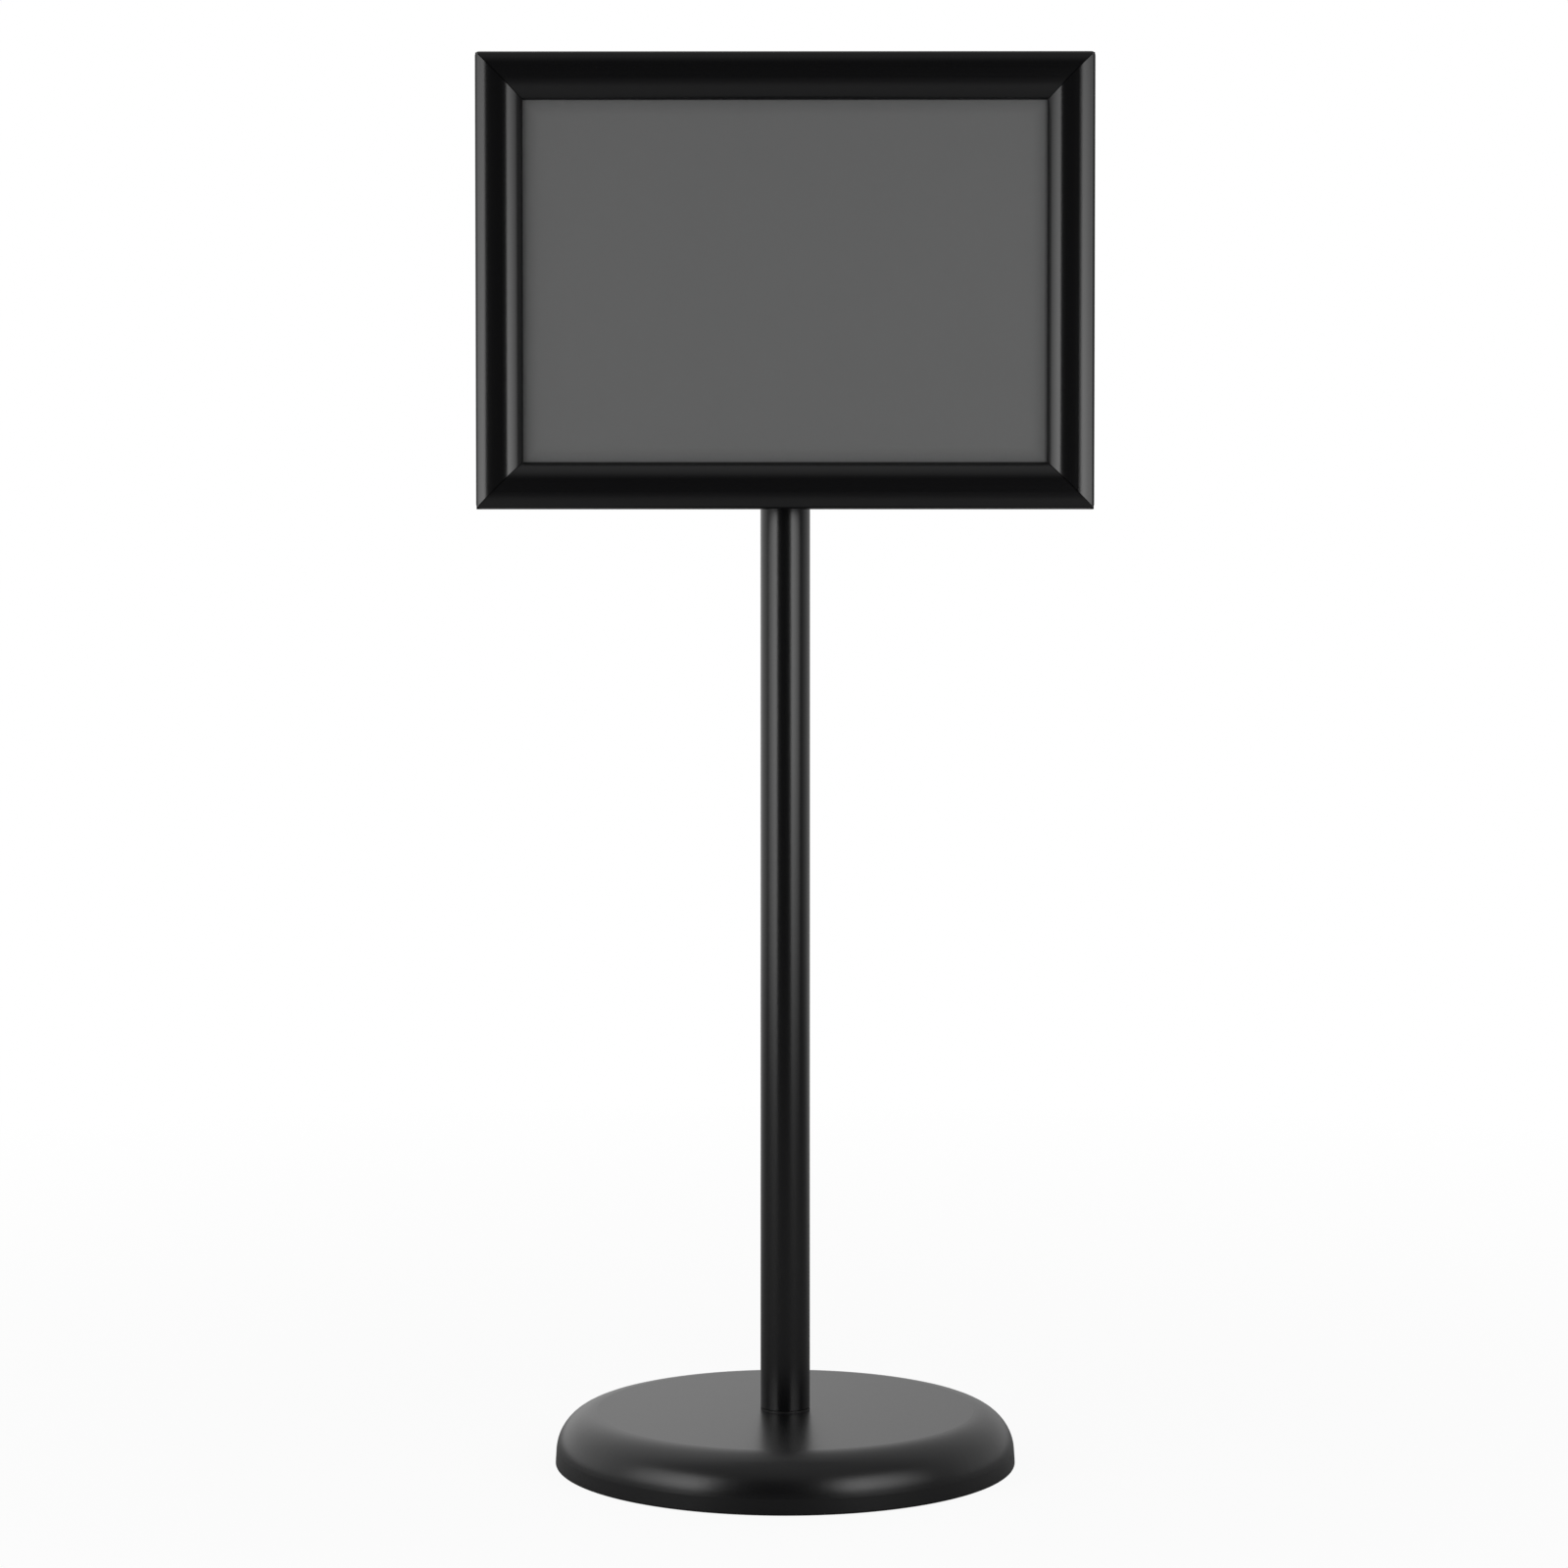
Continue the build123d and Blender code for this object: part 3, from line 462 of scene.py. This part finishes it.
def grip_ribs():
    """Fine ribs in every flute of a lobed knob, on an axis along X, and two rings on its outer face."""
    tree = bpy.data.node_groups.new("grip_ribs", "GeometryNodeTree")
    for size in ("Rib Radius", "Length", "Flute Radius", "Flute Circle", "Ring Radius", "Face"):
        tree.interface.new_socket(size, in_out="INPUT", socket_type="NodeSocketFloat")
    tree.interface.new_socket("Lobes", in_out="INPUT", socket_type="NodeSocketInt")
    tree.interface.new_socket("Hub", in_out="INPUT", socket_type="NodeSocketVector")
    tree.interface.new_socket("Material", in_out="INPUT", socket_type="NodeSocketMaterial")
    tree.interface.new_socket("Geometry", in_out="OUTPUT", socket_type="NodeSocketGeometry")
    given = add(tree, "NodeGroupInput").outputs
    rib = {"Vertices": 8, "Radius": given["Rib Radius"], "Depth": given["Length"]}
    rib = add(tree, "GeometryNodeMeshCylinder", rib)
    start, sweep = radians(146), radians(68)
    arc = {"Resolution": 7, "Radius": given["Flute Radius"], "Start Angle": start, "Sweep Angle": sweep}
    arc = add(tree, "GeometryNodeCurveArc", arc)
    ribs = add(tree, "GeometryNodeInstanceOnPoints", {"Points": arc.outputs[0], "Instance": rib.outputs[0]})
    out = add(tree, "ShaderNodeCombineXYZ", {"X": given["Flute Circle"]})
    flute = add(tree, "GeometryNodeTransform", {"Geometry": ribs.outputs[0], "Translation": out.outputs[0]})
    line = add(tree, "GeometryNodeMeshLine", {"Count": given["Lobes"], "Offset": (0, 0, 0)})
    step = add(tree, "ShaderNodeMath", {0: 2 * pi, 1: given["Lobes"]}, operation="DIVIDE")
    turn = {0: add(tree, "GeometryNodeInputIndex").outputs[0], 1: step.outputs[0]}
    turn = add(tree, "ShaderNodeMath", turn, operation="MULTIPLY")
    turn = add(tree, "ShaderNodeCombineXYZ", {"Z": turn.outputs[0]})
    around = {"Points": line.outputs[0], "Instance": flute.outputs[0], "Rotation": turn.outputs[0]}
    around = add(tree, "GeometryNodeInstanceOnPoints", around)
    grip = add(tree, "GeometryNodeJoinGeometry")
    tree.links.new(around.outputs[0], grip.inputs[0])
    up = add(tree, "ShaderNodeCombineXYZ", {"Z": given["Face"]})
    for share in (1.0, 0.45):
        radius = add(tree, "ShaderNodeMath", {0: given["Ring Radius"], 1: share}, operation="MULTIPLY")
        circle = {"Resolution": 48, "Radius": radius.outputs[0]}
        circle = add(tree, "GeometryNodeCurvePrimitiveCircle", circle)
        bead = {"Resolution": 10, "Radius": given["Rib Radius"]}
        bead = add(tree, "GeometryNodeCurvePrimitiveCircle", bead)
        ring = {"Curve": circle.outputs[0], "Profile Curve": bead.outputs[0]}
        ring = add(tree, "GeometryNodeCurveToMesh", ring)
        ring = {"Geometry": ring.outputs[0], "Translation": up.outputs[0]}
        ring = add(tree, "GeometryNodeTransform", ring)
        tree.links.new(ring.outputs[0], grip.inputs[0])
    place = {"Geometry": grip.outputs[0], "Translation": given["Hub"], "Rotation": TURNS["X"]}
    placed = add(tree, "GeometryNodeTransform", place)
    return close_tree(tree, given, placed.outputs[0])


def finished(name, blank, body, slot):
    """Turns an evaluated blank into a plain mesh piece that rides on a body and wears a slot's finish."""
    mesh = bpy.data.meshes.new_from_object(blank.evaluated_get(bpy.context.evaluated_depsgraph_get()))
    bpy.data.objects.remove(blank)
    mesh.materials.clear()
    mesh.materials.append(bpy.data.materials[slot])
    mesh.shade_smooth()
    mesh.set_sharp_from_angle(angle=radians(32))
    piece = bpy.data.objects.new(name, mesh)
    bpy.context.scene.collection.objects.link(piece)
    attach(piece, body)
    return piece


def fed(blank, tree, values):
    """Puts a tree on a blank, with each input set by its socket."""
    modifier = blank.modifiers.new("work", "NODES")
    modifier.node_group = tree
    for socket in tree.interface.items_tree:
        if socket.name in values:
            modifier[socket.identifier] = values[socket.name]


def worked(node, *steps):
    """Works a CAD piece with one tree after another, each with its values, and the result stands for it."""
    source = frame["nodes"][node]
    slot = source.data.materials[0]
    blank = bpy.data.objects.new(node + "_blank", source.data.copy())
    bpy.context.scene.collection.objects.link(blank)
    for name in ("custom_normal", "sharp_edge", "sharp_face"):
        if name in blank.data.attributes:
            blank.data.attributes.remove(blank.data.attributes[name])
    for tree, values in steps:
        fed(blank, tree, {**values, "Material": slot})
    bodies = frame["record"]["behaviour"]["bodies"]
    body = next(body for body, nodes in bodies.items() if node in nodes)
    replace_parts(finished(node + "_worked", blank, body, slot.name), node)


def knob_grip():
    """The clamp knob's fine ribs and rings, round its hub."""
    low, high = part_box("clamp_knob")
    hub_in_from_face = 7.4 * MM
    hub = (high.x - hub_in_from_face, (low.y + high.y) / 2, (low.z + high.z) / 2)
    blank = bpy.data.objects.new("knob_blank", bpy.data.meshes.new("knob_blank"))
    bpy.context.scene.collection.objects.link(blank)
    flutes = {"Lobes": 6, "Flute Radius": 7.0 * MM, "Flute Circle": 22.4 * MM}
    ribs = {"Rib Radius": 0.4 * MM, "Length": 11.6 * MM, "Ring Radius": 11.0 * MM, "Face": 7.2 * MM}
    values = {**flutes, **ribs, "Hub": hub, "Material": bpy.data.materials["black_abs"]}
    fed(blank, grip_ribs(), values)
    finished("knob_grip", blank, "knob", "black_abs")


def fasteners():
    """Recesses, chamfers, threads and saw cuts on the bought pieces, which are plain in the CAD model."""
    recess = cross_recess()
    chamfer = chamfer_back()
    split = split_ring()
    threads = {axis: screw_thread(axis) for axis in "XYZ"}
    m4 = {"Radius": 2.0 * MM, "Pitch": 0.7 * MM}
    m8 = {"Radius": 4.0 * MM, "Pitch": 1.25 * MM}
    m10 = {"Radius": 5.0 * MM, "Pitch": 1.5 * MM}
    worked("corner_screws", (recess, {"Span": 3.4 * MM, "Width": 0.9 * MM, "Depth": 1.0 * MM}))
    worked("plate_nuts", (chamfer, {"Face Radius": 3.3 * MM, "Length": 12.0 * MM}))
    worked(
        "plate_screws",
        (chamfer, {"Face Radius": 1.5 * MM, "Length": 20.0 * MM}),
        (threads["Y"], {**m4, "Length": 7.0 * MM}),
    )
    worked("swivel_nut", (chamfer, {"Face Radius": 6.2 * MM, "Length": 20.0 * MM}))
    worked(
        "swivel_bolt",
        (chamfer, {"Face Radius": 3.4 * MM, "Length": 40.0 * MM}),
        (threads["Y"], {**m8, "Length": 10.0 * MM}),
    )
    worked("tilt_bolt", (threads["X"], {**m8, "Length": 22.5 * MM}))
    worked("base_bolt", (threads["Z"], {**m10, "Length": 36.0 * MM}))
    saw = {"Gap": 0.8 * MM, "Reach": 9.0 * MM, "Thickness": 2.2 * MM}
    worked("swivel_spring_washer", (split, {**saw, "Turn": (0, 0, 0)}))
    worked("base_lock_washer", (split, {**saw, "Turn": (pi / 2, 0, pi / 2)}))


def pad_grooves():
    """The grip grooves in the underside of the base pad."""
    grooves = {"Rings": 15, "First Radius": 28 * MM, "Pitch": 6 * MM, "Groove Radius": 0.9 * MM}
    worked("base_pad", (grip_rings(), grooves))


fasteners()
pad_grooves()
knob_grip()


def white_floor():
    """A floor that looks white, keeps the stand's soft shadow and throws only a mild light back up."""
    material = bpy.data.materials.new("floor_white")
    material.use_nodes = True
    tree = material.node_tree
    tree.nodes.clear()
    ray = add(tree, "ShaderNodeLightPath").outputs
    seen = ray["Is Camera Ray"]
    point = add(tree, "ShaderNodeTexCoord").outputs["Object"]
    away = add(tree, "ShaderNodeVectorMath", {0: point}, operation="LENGTH").outputs["Value"]
    fade = {"Value": away, "From Min": 0.3, "From Max": 1.6, "To Min": 0.93, "To Max": 1.0}
    fade = add(tree, "ShaderNodeMapRange", fade)
    back = {"Value": add(tree, "ShaderNodeSeparateXYZ", {0: point}).outputs["Y"], "From Min": 0.2}
    back = add(tree, "ShaderNodeMapRange", {**back, "From Max": 1.5, "To Min": 0.0, "To Max": 0.6})
    gloss = add(tree, "ShaderNodeMath", {0: back.outputs[0], 1: ray["Is Glossy Ray"]}, operation="MULTIPLY")
    share = add(tree, "ShaderNodeMath", {0: fade.outputs[0], 1: seen}, operation="MULTIPLY")
    share = add(tree, "ShaderNodeMath", {0: share.outputs[0], 1: gloss.outputs[0]}, operation="MAXIMUM")
    tint = add(tree, "ShaderNodeMix", {"Factor": seen}, data_type="RGBA")
    tint.inputs["A"].default_value = srgb("#b2b2b2")
    tint.inputs["B"].default_value = srgb("#fafafa")
    matt = add(tree, "ShaderNodeBsdfDiffuse", {"Color": tint.outputs["Result"]})
    white = add(tree, "ShaderNodeEmission", {"Color": (1, 1, 1, 1), "Strength": 1.0})
    mixed = {0: share.outputs[0], 1: matt.outputs[0], 2: white.outputs[0]}
    mixed = add(tree, "ShaderNodeMixShader", mixed)
    add(tree, "ShaderNodeOutputMaterial", {"Surface": mixed.outputs[0]})
    reach = 3.0
    corners = [(-reach, -reach, 0), (reach, -reach, 0), (reach, reach, 0), (-reach, reach, 0)]
    mesh = bpy.data.meshes.new("floor")
    mesh.from_pydata(corners, [], [(0, 1, 2, 3)])
    mesh.materials.append(material)
    floor = bpy.data.objects.new("floor", mesh)
    bpy.context.scene.collection.objects.link(floor)


def white_room():
    """A background that looks white. Gloss sees it pale behind and overhead and dark in front."""
    world = bpy.data.worlds.new("studio")
    world.use_nodes = True
    bpy.context.scene.world = world
    tree = world.node_tree
    tree.nodes.clear()
    ray = add(tree, "ShaderNodeLightPath").outputs
    way = add(tree, "ShaderNodeTexCoord").outputs["Generated"]
    way = add(tree, "ShaderNodeSeparateXYZ", {0: way}).outputs
    behind = {"Value": way["Y"], "From Min": -0.45, "From Max": 0.35, "To Min": 0.02, "To Max": 0.76}
    behind = add(tree, "ShaderNodeMapRange", behind, interpolation_type="SMOOTHSTEP")
    above = {"Value": way["Z"], "From Min": 0.5, "From Max": 1.0, "To Min": 0.0, "To Max": 0.45}
    above = add(tree, "ShaderNodeMapRange", above, interpolation_type="SMOOTHSTEP")
    lean = {"Value": way["X"], "From Min": -0.2, "From Max": 0.2, "To Min": 1.2, "To Max": 0.8}
    lean = add(tree, "ShaderNodeMapRange", lean, interpolation_type="SMOOTHSTEP")
    room = add(tree, "ShaderNodeMath", {0: behind.outputs[0], 1: lean.outputs[0]}, operation="MULTIPLY")
    room = add(tree, "ShaderNodeMath", {0: room.outputs[0], 1: above.outputs[0]}, operation="MAXIMUM")
    matt_light = 0.16
    mirror = add(tree, "ShaderNodeMix", {0: ray["Is Glossy Ray"], 2: matt_light, 3: room.outputs[0]})
    seen = {0: ray["Is Camera Ray"], 1: ray["Is Transmission Ray"]}
    seen = add(tree, "ShaderNodeMath", seen, operation="MAXIMUM")
    level = add(tree, "ShaderNodeMath", {0: seen.outputs[0], 1: mirror.outputs[0]}, operation="MAXIMUM")
    background = add(tree, "ShaderNodeBackground", {"Color": (1, 1, 1, 1), "Strength": level.outputs[0]})
    add(tree, "ShaderNodeOutputWorld", {"Surface": background.outputs[0]})


def lamp(name, azimuth, distance, size, middle, level):
    """A soft lamp of the given radiance, that many degrees to the side of straight in front."""
    light = bpy.data.lights.new(name, "AREA")
    light.shape = "RECTANGLE"
    light.size, light.size_y = size
    light.energy = level * size[0] * size[1] * pi
    holder = bpy.data.objects.new(name, light)
    turn = radians(azimuth)
    holder.location = (distance * sin(turn), -distance * cos(turn), middle)
    holder.rotation_euler = (radians(90), 0, turn)
    holder.visible_camera = False
    bpy.context.scene.collection.objects.link(holder)
    return holder


def softbox(name, azimuth, size, middle, level):
    """A lamp behind cloth: brightest along its near edge, it wanes outwards and towards its top."""
    distance = 1.25
    light = lamp(name, azimuth, distance, size, middle, level).data
    light.use_nodes = True
    tree = light.node_tree
    tree.nodes.clear()
    point = add(tree, "ShaderNodeNewGeometry").outputs["Position"]
    turn = radians(azimuth)
    outward = (cos(turn), sin(turn), 0) if azimuth > 0 else (-cos(turn), -sin(turn), 0)
    aside = add(tree, "ShaderNodeVectorMath", {0: point, 1: outward}, operation="DOT_PRODUCT")
    edge = size[0] / 2
    wane = {"Value": aside.outputs["Value"], "From Min": -edge, "From Max": edge}
    wane = add(tree, "ShaderNodeMapRange", {**wane, "To Min": 1.2, "To Max": 0.25})
    tall = add(tree, "ShaderNodeSeparateXYZ", {0: point}).outputs["Z"]
    top = {"Value": tall, "From Min": 0.6, "From Max": 1.1, "To Min": 1.0, "To Max": 0.55}
    top = add(tree, "ShaderNodeMapRange", top)
    glow = add(tree, "ShaderNodeMath", {0: wane.outputs[0], 1: top.outputs[0]}, operation="MULTIPLY")
    glow = add(tree, "ShaderNodeEmission", {"Strength": glow.outputs[0]})
    add(tree, "ShaderNodeOutputLight", {"Surface": glow.outputs[0]})


def studio():
    """A tall softbox on each side, weaker at its foot, and a plain fill behind that leaves no highlight."""
    white_floor()
    white_room()
    box_size, box_middle = (1.0, 0.78), 0.69
    foot_size, foot_middle = (1.0, 0.18), 0.21
    for side, azimuth, box_level, foot_level in (("left", -60, 3.9, 2.9), ("right", 49, 3.9, 2.1)):
        softbox(side + "_softbox", azimuth, box_size, box_middle, box_level)
        softbox(side + "_softbox_foot", azimuth, foot_size, foot_middle, foot_level)
    distance, size, middle, level = 1.5, (1.0, 1.0), 0.7, 1.5
    for name, azimuth in (("back_left_fill", -130), ("back_right_fill", 130)):
        lamp(name, azimuth, distance, size, middle, level).visible_glossy = False


def camera():
    """The viewpoint: low, level with the lower part of the post, looking slightly down."""
    lens = bpy.data.cameras.new("camera")
    lens.sensor_width = 36
    lens.lens = 79.86
    viewer = bpy.data.objects.new("camera", lens)
    viewer.location = (0.005, -1.8916, 0.4329)
    look_down, roll = 1.8655, 0.003
    viewer.rotation_euler = (radians(90 - look_down), 0, roll)
    bpy.context.scene.collection.objects.link(viewer)
    bpy.context.scene.camera = viewer


studio()
camera()
bpy.context.scene.view_settings.view_transform = "Standard"
